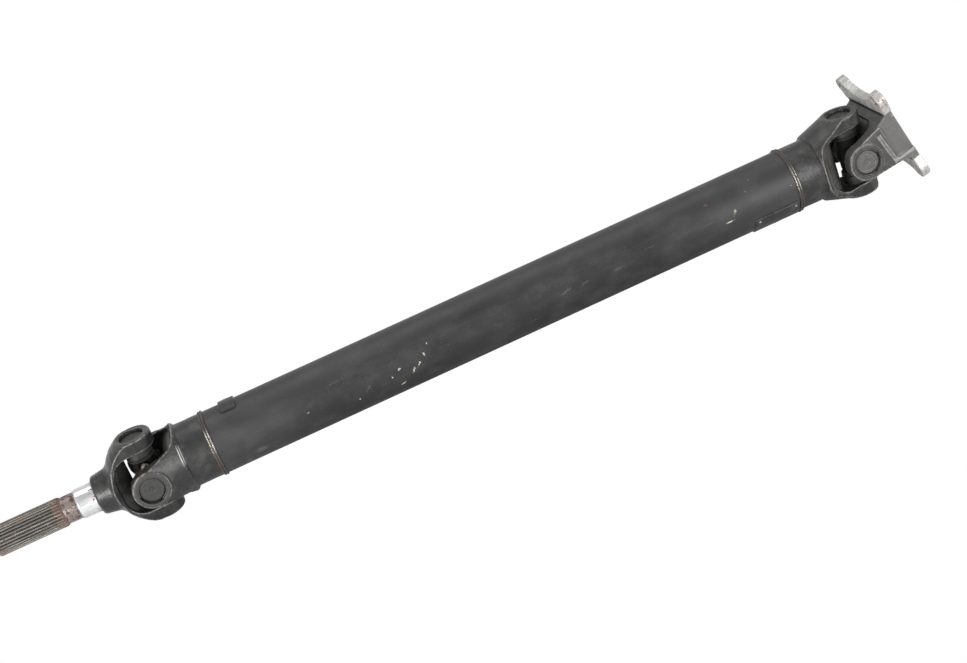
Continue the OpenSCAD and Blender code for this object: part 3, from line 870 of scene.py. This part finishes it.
def shaft_tube():
    """Drawn tube: rings of points along X, outside and back along the bore, with bevelled ends;
    the outside carries a barely visible ovality and handling dents."""
    bevel = np.array([0, 0.5, 1.3, 1.8])
    x = np.concatenate([TUBE_START + bevel, np.linspace(TUBE_START + 3, TUBE_END - 3, TUBE_RINGS),
                        TUBE_END - bevel[::-1]])
    outer = np.full(len(x), TUBE_R)
    for ring, drop in enumerate((1.25, 0.8, 0.12)):
        outer[[ring, -1 - ring]] -= drop
    bore_x = np.linspace(TUBE_END, TUBE_START, BORE_RINGS)
    outline = np.r_[np.c_[outer, x], np.c_[np.full(BORE_RINGS, TUBE_R - TUBE_WALL), bore_x]]
    mesh = turned("shaft_tube_skin", outline, np.zeros(3), Z_AXIS, X_AXIS,
                  facets=TUBE_FACETS, closed=True, wave=tube_dents)
    points, _, _ = mesh_arrays(mesh)
    points = points / MM
    along, roll = points[:, 0], np.degrees(np.arctan2(-points[:, 1], points[:, 2])) % 360
    attribute(mesh, "chip", marks(along, roll, CHIPS))
    attribute(mesh, "scuff", marks(along, roll, SCUFFS, 1.3))
    attribute(mesh, "stain", marks(along, roll, STAINS, 1.2))
    # Painted shade along the middle of the tube, on its near and lower side.
    middle_shading = np.clip((along - TUBE_START - 35) / 80, 0, 1) * np.clip((TUBE_END - 30 - along) / 110, 0, 1)
    middle_shading = middle_shading * np.clip((roll - 40) / 25, 0, 1) * np.clip((185 - roll) / 40, 0, 1)
    attribute(mesh, "patch", marks(along, roll, HEAT, 1.6))
    attribute(mesh, "grime", middle_shading)
    finish_piece(mesh, "tube_skin", "tube", TUBE_PAINT, ("shaft_tube",))


def tube_dents(angle, radius, height):
    """Shallow lengthwise unevenness of the drawn surface, zero at the ends and in the bore."""
    inside = (radius > TUBE_R - 0.05) * np.clip((height - TUBE_START) / 20, 0, 1) \
        * np.clip((TUBE_END - height) / 20, 0, 1)
    wander = 0.5 * np.sin(2 * angle + height / 90) + 0.5 * np.sin(3 * angle - height / 61 + 1)
    return -0.05 * inside * (1 + wander)


# ---------------------------------------------------------------- weld beads
def weld_bead(name, node, centre_x, yoke_side, seed, rubbed):
    """Weld ring: a double-crested outline, with ripples where each pass of the torch froze.
    The ripples lean with the distance from the middle, and start and stop at one lump. Their
    crests are rubbed bright round one roll, where the brightness is partly a painted highlight."""
    outline = np.array([
        [TUBE_R - 1.5, -1.2], [TUBE_R - 0.2, -2.5], [TUBE_R + 0.15, -2.45], [TUBE_R + 0.65, -2.2],
        [TUBE_R + 1.15, -1.85], [TUBE_R + 1.4, -1.4], [TUBE_R + 1.3, -0.95], [TUBE_R + 0.95, -0.55],
        [TUBE_R + 0.8, -0.2], [TUBE_R + 0.95, 0.15], [TUBE_R + 1.4, 0.5], [TUBE_R + 1.75, 0.95],
        [TUBE_R + 1.7, 1.4], [TUBE_R + 1.3, 1.85], [TUBE_R + 0.7, 2.25], [TUBE_R + 0.15, 2.5],
        [TUBE_R - 0.2, 2.55], [TUBE_R - 1.5, 1.2]])
    outline[:, 1] *= yoke_side
    if yoke_side < 0:
        outline = outline[::-1]
    draw = np.random.default_rng(seed)
    start = draw.uniform(0, TURN)
    wobble = draw.uniform(0, TURN, 4)

    def ripple(angle, radius, height):
        proud = np.clip((radius - TUBE_R) / 1.2, 0, 1)
        phase = angle * RIPPLES + 1.5 * np.abs(height) + 1.5 * np.sin(3 * angle + wobble[0])
        rough = 0.5 * np.sin(5 * angle + wobble[1]) + 0.3 * np.sin(11 * angle + wobble[2]) \
            + 0.2 * np.sin(23 * angle + wobble[3])
        lump = np.exp(-((angle - start + pi) % TURN - pi) ** 2 / 0.004)
        return proud * (0.13 * np.sin(phase) + 0.12 * rough + 0.35 * lump - 0.12)

    mesh = turned(name, outline, np.array([centre_x, 0, 0]), Z_AXIS, X_AXIS,
                  facets=BEAD_FACETS, closed=True, wave=ripple)
    points, _, _ = mesh_arrays(mesh)
    roll = np.degrees(np.arctan2(-points[:, 1], points[:, 2]))
    # Rubbed crests and painted highlight round this roll.
    attribute(mesh, "rubbed", np.clip(1.4 - np.abs(roll - rubbed) / 18, 0, 1))
    finish_piece(mesh, name, "tube", WELD_PAINT, (node,), sharp=0, passes=0)


# ---------------------------------------------------------------- balance weights
def balance_weight(name, node, roll, half, thick, spots, glint):
    """Strip bent round the tube: a rounded-rectangle slab whose thickness direction follows the
    tube's radius, with shallow round dents where it was spot-welded."""
    low, high = span(node)
    length = high[0] - low[0]
    s = np.linspace(-1, 1, 81)
    u = np.linspace(-1, 1, 61)
    inset = 1.2
    grid_u, grid_s = np.meshgrid(u, s, indexing="ij")
    x = (low[0] + high[0]) / 2 + grid_u * length / 2
    arc = grid_s * radians(half)
    edge_x = (1 - np.abs(grid_u)) * length / 2
    edge_s = (1 - np.abs(grid_s)) * radians(half) * TUBE_R
    corner = 2.2
    near = np.minimum(edge_x, edge_s)
    inner = np.hypot(np.clip(corner - edge_x, 0, None), np.clip(corner - edge_s, 0, None))
    near = np.where((edge_x < corner) & (edge_s < corner), corner - inner, near)
    lift = np.sqrt(np.clip(1 - (1 - np.clip(near / inset, 0, 1)) ** 2, 0, 1))
    r = TUBE_R - 0.1 + thick * lift
    shine = np.zeros_like(r)
    for spot_u, spot_s in spots:
        d = ((grid_u - spot_u) * length / 2) ** 2 + ((grid_s - spot_s) * radians(half) * TUBE_R) ** 2
        r = r - 0.5 * np.exp(-d / 2.2) + 0.16 * np.exp(-(np.sqrt(d) - 2.6) ** 2 / 0.35)
        # Painted highlight: a light glint in the middle of each spot-weld dent, as strong as glint.
        shine = np.maximum(shine, glint * np.exp(-d / 0.9))
    angle = radians(roll) + arc
    outer = np.stack([x, -r * np.sin(angle), r * np.cos(angle)], -1)
    low_r = TUBE_R - 0.3
    inner_side = np.stack([x, -low_r * np.sin(angle), low_r * np.cos(angle)], -1)
    mesh = slab_mesh(name, outer, inner_side)
    attribute(mesh, "shine", np.r_[shine.ravel(), np.zeros(shine.size)])
    finish_piece(mesh, name, "tube", WEIGHT_PAINT, (node,), sharp=50)


def slab_mesh(name, outer, inner):
    """Closed slab between two grids of the same shape: both grids, and quads round their rims."""
    rows, columns = outer.shape[:2]
    index = np.arange(rows * columns).reshape(rows, columns)
    faces = np.stack([index[:-1, :-1], index[1:, :-1], index[1:, 1:], index[:-1, 1:]], -1).reshape(-1, 4)
    back = faces[:, ::-1] + rows * columns
    rim = np.concatenate([index[:-1, 0], index[-1, :-1], index[:0:-1, -1], index[0, :0:-1]])
    nxt = np.roll(rim, -1)
    sides = np.stack([rim, nxt, nxt + rows * columns, rim + rows * columns], -1)
    mesh = bpy.data.meshes.new(name)
    points = np.vstack([outer.reshape(-1, 3), inner.reshape(-1, 3)]) * MM
    mesh.from_pydata(points, [], np.vstack([faces, back, sides]).tolist())
    point_outwards(mesh)
    return mesh


# ---------------------------------------------------------------- bearings
def ear_rim(ear, centre, roll, body):
    """Machined rim of an ear: a thin collar round the bore, with the snap ring's groove inside it."""
    groove_top = RING_TOP + 0.12
    outline = rounded([
        [RIM_OUT, EAR_FACE - 3.2], [RIM_OUT, EAR_FACE - 0.55], [RIM_OUT - 0.6, EAR_FACE],
        [RING_R - 0.35, EAR_FACE], [RING_R - 0.75, EAR_FACE - 0.3], [RING_R - 0.75, groove_top],
        [RING_R + 0.1, groove_top], [RING_R + 0.1, EAR_FACE - 3.2]], 0.22, closed=True)
    mesh = turned("ear_rim_" + ear, outline, centre, X_AXIS, ear_axis(roll), 112, closed=True)
    finish_piece(mesh, "ear_rim_" + ear, body, RIM_METAL)


def bearing_cup(ear, centre, roll, body):
    """Bearing cup: a drawn shell with a flat face, a punched centre mark in a small dish, and the
    open bore that the needles run in."""
    along = ear_axis(roll)
    f = CUP_FACE - (1.5 if roll in (0, 180) else 0.0)
    face = [[0, f - 0.15], [0.7, f - 0.15], [1.15, f - 0.75], [2.5, f - 0.75], [3.2, f - 0.06]]
    if body == "flange":
        face += [[7.6, f - 0.06], [7.9, f - 0.26], [8.5, f - 0.26], [8.8, f - 0.02]]
    outline = rounded(face + [
        [11.2, f], [12.0, f - 1.0], [CUP_R - 0.1, f - 1.8], [CUP_R, f - 2.2], [CUP_R, CUP_BACK + 0.6],
        [CUP_R - 0.5, CUP_BACK],
        [CUP_BORE, CUP_BACK], [CUP_BORE, f - CUP_FLOOR], [0, f - CUP_FLOOR]], 0.3)
    mesh = turned("bearing_" + ear, outline, centre, X_AXIS, along, 96)
    finish_piece(mesh, "bearing_" + ear, body,
                 FLANGE_CUP if body == "flange" else CUP_METAL, ("cup_" + ear,), sharp=50)


def snap_ring(ear, centre, roll, body, open_at, open_half):
    """Snap ring: a rounded-rectangle wire carried round the axis over an arc, narrowed and
    rounded off at its two ends."""
    along = ear_axis(roll)
    side = np.cross(along, X_AXIS)
    low, top = RING_LOW + 0.02, RING_TOP - 0.06
    section = rounded([[RING_BORE + 0.3, low], [RING_R - 0.05, low],
                       [RING_R - 0.05, top], [RING_BORE + 0.3, top]], 0.35, closed=True)
    t = np.linspace(0, 1, 121)
    angle = radians(open_at) + radians(open_half) + t * (TURN - 2 * radians(open_half))
    near_end = np.minimum(t, 1 - t) * (TURN - 2 * radians(open_half)) * RING_R
    cap = np.sqrt(np.clip(1 - (1 - np.clip(near_end / 1.2, 0, 1)) ** 2, 0.02, 1))
    middle = section.mean(0)
    ring = middle + (section - middle)[None] * cap[:, None, None]
    radius, height = ring[..., 0], ring[..., 1]
    radial = np.cos(angle)[:, None] * X_AXIS + np.sin(angle)[:, None] * side
    grid = centre + radius[..., None] * radial[:, None] + height[..., None] * along
    mesh = grid_mesh("snap_" + ear, grid)
    close_holes(mesh)
    points, _, _ = mesh_arrays(mesh)
    attribute(mesh, "off_axis", np.linalg.norm(np.cross(points / MM - centre, along), axis=1))
    finish_piece(mesh, "snap_" + ear, body, SPRING_METAL, ("snap_ring_" + ear,), sharp=50)


def close_holes(mesh):
    """Fills the open ends of a swept surface, and turns all faces outwards."""
    shape = bmesh.new()
    shape.from_mesh(mesh)
    bmesh.ops.holes_fill(shape, edges=[e for e in shape.edges if e.is_boundary])
    bmesh.ops.recalc_face_normals(shape, faces=shape.faces)
    shape.to_mesh(mesh)
    shape.free()


def trunnion_seal(ear, centre, roll, body):
    """Rubber seal on the foot of a trunnion: two lips with a groove between them."""
    along = ear_axis(roll)
    bore = TRUNNION_R + 0.05
    outline = rounded([
        [bore, SEAL_LOW], [SEAL_R - 0.8, SEAL_LOW], [SEAL_R, SEAL_LOW + 0.7], [SEAL_R, SEAL_LOW + 1.15],
        [SEAL_R - 0.7, SEAL_LOW + 1.4], [SEAL_R - 0.7, SEAL_LOW + 1.7], [SEAL_R - 0.05, SEAL_LOW + 2.0],
        [SEAL_R - 0.1, SEAL_TOP - 0.1], [SEAL_R - 0.8, SEAL_TOP],
        [11.8, SEAL_TOP - 0.8], [10.2, SEAL_TOP - 0.8],
        [bore + 0.6, SEAL_TOP], [bore, SEAL_TOP]], 0.25, closed=True)
    mesh = turned("lip_seal_" + ear, outline, centre, X_AXIS, along, 72, closed=True)
    finish_piece(mesh, "lip_seal_" + ear, body, SEAL_RUBBER, ("seal_" + ear,))


# ---------------------------------------------------------------- stub
def stub_axle():
    """Journal, neck and spline of the stub: turned surfaces on the shaft's axis, towards -X."""
    origin, up, outwards = np.zeros(3), Z_AXIS, -X_AXIS
    start = -JOURNAL_END
    journal = rounded([[0, -6], [JOURNAL_R, -6], [JOURNAL_R, start - 1.3], [JOURNAL_R - 0.9, start],
                       [NECK_R - 1, start], [0, start]], 0.35, 3)
    mesh = turned("seal_journal", journal, origin, up, outwards, 160)
    points, _, _ = mesh_arrays(mesh)
    attribute(mesh, "rusty", np.clip((points[:, 0] / MM + 4.0) / 3.2, 0, 1))
    finish_piece(mesh, "seal_journal", "stub", JOURNAL_METAL, ("stub_yoke",))
    groove = [[0, start - 2.5], [NECK_R + 0.75, start - 2.5], [NECK_R + 0.75, start + 0.6],
              [NECK_R - 0.35, start + 1.1], [NECK_R - 0.35, start + 2.4], [NECK_R, start + 3.1],
              [NECK_R, start + 8], [NECK_R - 0.15, -SPLINE_START - 1.5],
              [NECK_R - 0.5, -SPLINE_START + 3], [0, -SPLINE_START + 4]]
    mesh = turned("stub_neck", rounded(groove, 0.4, 3), origin, up, outwards, 144)
    finish_piece(mesh, "stub_neck", "stub", NECK_METAL, ("stub_yoke",))
    spline()


def spline():
    """Spline: at each step along X a ring whose radius follows a trapezoid tooth form round the
    axis; the teeth run out at the neck and are bevelled at the free end."""
    root_r = SPLINE_R - 1.35
    steps = np.array([0, .05, .09, .25, .29, .33, .45, .57, .61, .65, .81, .85, .92])
    form = np.interp(steps, [0, .07, .27, .63, .83, 1], [0, 0, 1, 1, 0, 0])
    angle = ((np.arange(SPLINE_TEETH)[:, None] + steps) * TURN / SPLINE_TEETH).ravel()
    tooth = np.tile(form, SPLINE_TEETH)
    length = SPLINE_START - SPLINE_END
    t = np.concatenate([[0, 0.3, 0.8, 1.4, 2.0, 2.6, 3.2], np.linspace(4, length - 3.4, 60),
                        [length - 2.6, length - 2.0, length - 1.2, length - 0.5, length]])
    run_in = np.clip(t / 2.6, 0, 1) ** 0.7
    bevel = np.clip((length - t) / 2.6, 0, 1)
    tip = root_r - 0.2 + (SPLINE_R - root_r + 0.2) * run_in
    limit = root_r - 1.1 + (SPLINE_R - root_r + 1.1) * bevel
    radius = np.minimum(root_r + (tip[:, None] - root_r) * tooth[None], limit[:, None])
    radius = np.minimum(radius, SPLINE_R)
    x = SPLINE_START - t
    grid = np.stack([np.broadcast_to(x[:, None], radius.shape), radius * np.sin(angle),
                     radius * np.cos(angle)], -1)
    mesh = grid_mesh("stub_spline", grid, poles=True)
    points, _, _ = mesh_arrays(mesh)
    off = np.hypot(points[:, 1], points[:, 2]) / MM
    attribute(mesh, "tip", np.clip((off - root_r) / (SPLINE_R - root_r), 0, 1))
    attribute(mesh, "rusty", np.exp(-((SPLINE_START - points[:, 0] / MM) / 7) ** 2))
    finish_piece(mesh, "stub_spline", "stub", SPLINE_METAL, ("stub_yoke",),
                 sharp=24, passes=0)


# ---------------------------------------------------------------- grease nipples
def grease_nipple(side, centre, roll, body):
    """Grease nipple: a turned stem whose outline swells from a hexagon to a round, ball-ended
    tip. The hexagon is the distance to the nearest of six flats."""
    along = ear_axis(roll)
    seat = 14.65
    outline = [[0, -5], [3, -5], [3, 0], [4.3, 0.02], [4.3, 2.5], [3.5, 2.9], [2.3, 3.1], [1.8, 4.4],
               [2.7, 5.3], [2.7, 6.3], [1.6, 7.5], [0.8, 7.6], [0.7, 7.0], [0, 6.9]]
    outline = rounded([[radius, seat + height] for radius, height in outline], 0.22)

    def hexagon(angle, radius, height):
        flats = 3.6 / np.cos((angle + pi / 6) % (pi / 3) - pi / 6)
        is_nut = (height > seat + 0.01) & (height < seat + 2.95) & (radius > 3.2)
        return np.where(is_nut, np.minimum(radius, flats) - radius, 0.0)

    mesh = turned("nipple_" + side, outline, centre, X_AXIS, along, 72, wave=hexagon)
    finish_piece(mesh, "nipple_" + side, body, NIPPLE_METAL,
                 ("grease_nipple_" + side,), sharp=30)


# ---------------------------------------------------------------- forgings
def bare_flange(mesh, points):
    """Attributes of the flange yoke: bare where the plate and its lugs were machined, rusty on
    the top near lug."""
    rel = points - RIGHT
    depth = rel @ FLANGE_AXIS
    up = rel @ FLANGE_UP
    side = points[:, 1]
    plate = np.clip((depth - (FLANGE_FACE - FLANGE_T) + 0.6) / 1.2, 0, 1)
    lug = np.clip((np.abs(up) - 27) / 3, 0, 1)
    front = np.clip((depth - FLANGE_FACE + 0.5) / 0.4, 0, 1)
    pocket = np.clip((np.abs(side) - 36) / 1.5, 0, 1) * np.clip((depth - 26) / 2, 0, 1)
    attribute(mesh, "bare", np.maximum(plate * lug, front))
    attribute(mesh, "thin", 0.75 * pocket)
    attribute(mesh, "ridge", flange_ridge(points)[1])
    attribute(mesh, "rusty", np.clip((up - 36) / 3, 0, 1) * np.clip((-side - 20) / 4, 0, 1))


def flange_ridge(points):
    """Height and mask of the raised L-shaped band on the outside of each flange ear, and the
    small nub at the plate: distances to the L's leg and foot, turned into a rounded step. The mask is
    a painted highlight, in two lines along the leg."""
    rel = points - RIGHT
    depth, up, side = rel @ FLANGE_AXIS, rel @ FLANGE_UP, np.abs(points[:, 1])
    leg_half, foot_half = 2.2, 2.0
    across_leg = depth - 24.3 + 0.06 * (up + 17)
    across_foot = up + 17.2 + 0.12 * (depth - 26)
    leg = np.maximum(np.abs(across_leg) - leg_half, np.maximum(up - 15, -20 - up))
    foot = np.maximum(np.abs(across_foot) - foot_half, np.maximum(23.5 - depth, depth - 47))
    band = np.clip(0.5 - np.minimum(leg, foot), 0, 1)
    # Painted highlight in two lines, one along each edge of the leg.
    two_lines = np.where(foot < 0, 1.0, 0.3 + 0.7 * np.sin(pi * across_leg / 3.6) ** 2)
    band = band * band * (3 - 2 * band) * np.clip((side - 39) / 1.5, 0, 1)
    nub = np.exp(-((depth - 45) ** 2 + (up - 22.5) ** 2) / 2.5) * np.clip((side - 38) / 2, 0, 1)
    return band + 1.4 * nub, np.maximum(band * two_lines, nub)


def raise_ridge(points):
    """Lifts the L-shaped bands outwards along Y."""
    lifted = points.copy()
    lifted[:, 1] += np.sign(points[:, 1]) * flange_ridge(points)[0]
    return lifted


def shoulder_highlights(mesh, points):
    """Two thin painted highlight lines just before the left fork's shoulder, on its near side."""
    behind = points[:, 0] - LEFT[0]
    roll = np.degrees(np.arctan2(-points[:, 1], points[:, 2]))
    lines = np.exp(-((behind - 37.5) / 0.35) ** 2) + np.exp(-((behind - 35.6) / 0.35) ** 2)
    attribute(mesh, "shine", 0.75 * lines * np.clip(1.9 - np.abs(roll - 64) / 10, 0, 1))


def forgings():
    forged("stub_fork", "stub_yoke", "stub", STUB_PAINT, 0.7, 7,
           ["stub_top", "stub_bottom"], cut_x=-0.01)
    forged("fork_left", "weld_yoke_left", "tube", YOKE_PAINT, 0.8, 7,
           ["left_near", "left_far"], extra=shoulder_highlights)
    # The right fork: a higher lit shrinks its painted shade and turns on its painted sheen of light.
    forged("fork_right", "weld_yoke_right", "tube", YOKE_PAINT, 0.8, 7,
           ["right_top", "right_bottom"], lit=0.5)
    forged("flange_fork", "flange_yoke", "flange", FLANGE_PAINT, 0.65, 5,
           ["flange_near", "flange_far"], shape=raise_ridge, extra=bare_flange)
    for side in ("left", "right"):
        mesh = softened("cross_" + side, 0.5, 9)
        # Painted shade: the whole spider is darkened towards black.
        attribute(mesh, "inner", np.full(len(mesh.vertices), 0.75))
        finish_piece(mesh, "spider_" + side, "cross_" + side, CROSS_METAL,
                     ("cross_" + side,), sharp=0, passes=3)


shaft_tube()
weld_bead("bead_left", "weld_bead_left", WELD_LEFT, 1, 11, 62)
weld_bead("bead_right", "weld_bead_right", WELD_RIGHT, -1, 12, 70)
balance_weight("weight_left", "balance_weight_left", -4, 27, 2.2, [(-0.1, -0.6), (0.1, 0.6)], 0.0)
balance_weight("weight_right", "balance_weight_right", 139, 27, 1.4,
               [(-0.80, -0.72), (0.80, -0.72), (0, 0.5)], 0.7)
for ear, centre, roll, body, cross, open_at, open_half in EARS:
    ear_rim(ear, centre, roll, body)
    bearing_cup(ear, centre, roll, body)
    snap_ring(ear, centre, roll, body, open_at, open_half)
    trunnion_seal(ear, centre, roll, cross)
    needles = frame["nodes"]["needles_" + ear]
    needles.data.materials.clear()
    needles.data.materials.append(NEEDLE_METAL)
stub_axle()
grease_nipple("left", LEFT, 45, "cross_left")
grease_nipple("right", RIGHT, 225, "cross_right")
forgings()


# ---------------------------------------------------------------- floor, light and camera
FLOOR_HALF = 30.0               # metres from the middle of the floor to its edge
SKY_LOW, SKY_HIGH = 0.90, 0.66  # light from the horizon and from overhead
CAMERA_AT = Vector((0.24253, -1.57437, 0.67870))
CAMERA_AIM = Vector((0.40011, 0, -0.01173))
CAMERA_ROLL = radians(-22.318)
LENS_MM, SENSOR_MM = 66.163, 36


def seen_or_lit(tree, seen, lit):
    """Shader that the camera sees as one thing while the part is lit by the other."""
    rays = put(tree, "LightPath").outputs["Is Camera Ray"]
    return put(tree, "MixShader", {0: rays, 1: lit.outputs[0], 2: seen.outputs[0]}).outputs[0]


def floor():
    """Plain pale floor under the part. The camera sees it evenly white."""
    made, tree, shader = material("pale_floor")
    at = place(tree)
    mottled = step(tree, noise(tree, at, 3.0), 0, 1, 0.98, 1.0)
    feed(tree, shader, Base_Color=tinted(tree, (0.86, 0.86, 0.86, 1), mottled), Roughness=0.9)
    seen = put(tree, "Emission", {"Color": (1, 1, 1, 1), "Strength": 1.0})
    out = next(n for n in tree.nodes if n.type == "OUTPUT_MATERIAL")
    tree.links.new(seen_or_lit(tree, seen, shader), out.inputs[0])
    level = CAD_BOX[0][2] - 0.001
    corners = [(x * FLOOR_HALF, y * FLOOR_HALF, level) for x, y in ((-1, -1), (1, -1), (1, 1), (-1, 1))]
    mesh = bpy.data.meshes.new("floor")
    mesh.from_pydata(corners, [], [(0, 1, 2, 3)])
    mesh.materials.append(made)
    ground = bpy.data.objects.new("floor", mesh)
    bpy.context.scene.collection.objects.link(ground)


def sky():
    """White surroundings. The part is lit by a softer version, darker overhead."""
    world = bpy.data.worlds.new("studio")
    world.use_nodes = True
    bpy.context.scene.world = world
    tree = world.node_tree
    tree.nodes.clear()
    up = put(tree, "SeparateXYZ", {0: put(tree, "TexCoord").outputs["Generated"]}).outputs[2]
    bright = step(tree, up, -0.2, 1.0, SKY_LOW, SKY_HIGH)
    lit = put(tree, "Background", {"Color": (1, 1, 1, 1), "Strength": bright})
    seen = put(tree, "Background", {"Color": (1, 1, 1, 1), "Strength": 1.0})
    tree.links.new(seen_or_lit(tree, seen, lit), put(tree, "OutputWorld").inputs[0])


def softbox(name, where, towards, size, power):
    """Rectangular area light at `where`, facing `towards`; size is its width and height."""
    lamp = bpy.data.lights.new(name, "AREA")
    lamp.shape, lamp.size, lamp.size_y, lamp.energy = "RECTANGLE", size[0], size[1], power
    holder = bpy.data.objects.new(name, lamp)
    holder.location = where
    holder.rotation_euler = (Vector(towards) - Vector(where)).to_track_quat("-Z", "Y").to_euler()
    bpy.context.scene.collection.objects.link(holder)


def camera():
    """Camera above the near side, rolled so that the shaft climbs to the right."""
    lens = bpy.data.cameras.new("camera")
    lens.lens, lens.sensor_width = LENS_MM, SENSOR_MM
    lens.clip_start, lens.clip_end = 0.05, 200
    holder = bpy.data.objects.new("camera", lens)
    holder.location = CAMERA_AT
    facing = (CAMERA_AIM - CAMERA_AT).to_track_quat("-Z", "Y")
    holder.rotation_euler = (facing @ Quaternion((0, 0, 1), CAMERA_ROLL)).to_euler()
    bpy.context.scene.collection.objects.link(holder)
    bpy.context.scene.camera = holder


floor()
sky()
softbox("right_softbox", (1.9, -2.4, 0.55), (0.75, 0, 0), (1.0, 1.6), 58)
softbox("left_softbox", (-1.1, -1.5, 0.30), (0.05, 0, 0), (1.1, 0.9), 38)
softbox("top_softbox", (0.4, 0.5, 2.4), (0.4, 0, 0), (2.6, 1.4), 20)
camera()
bpy.context.scene.view_settings.view_transform = "Standard"
bpy.context.scene.view_settings.look = "None"
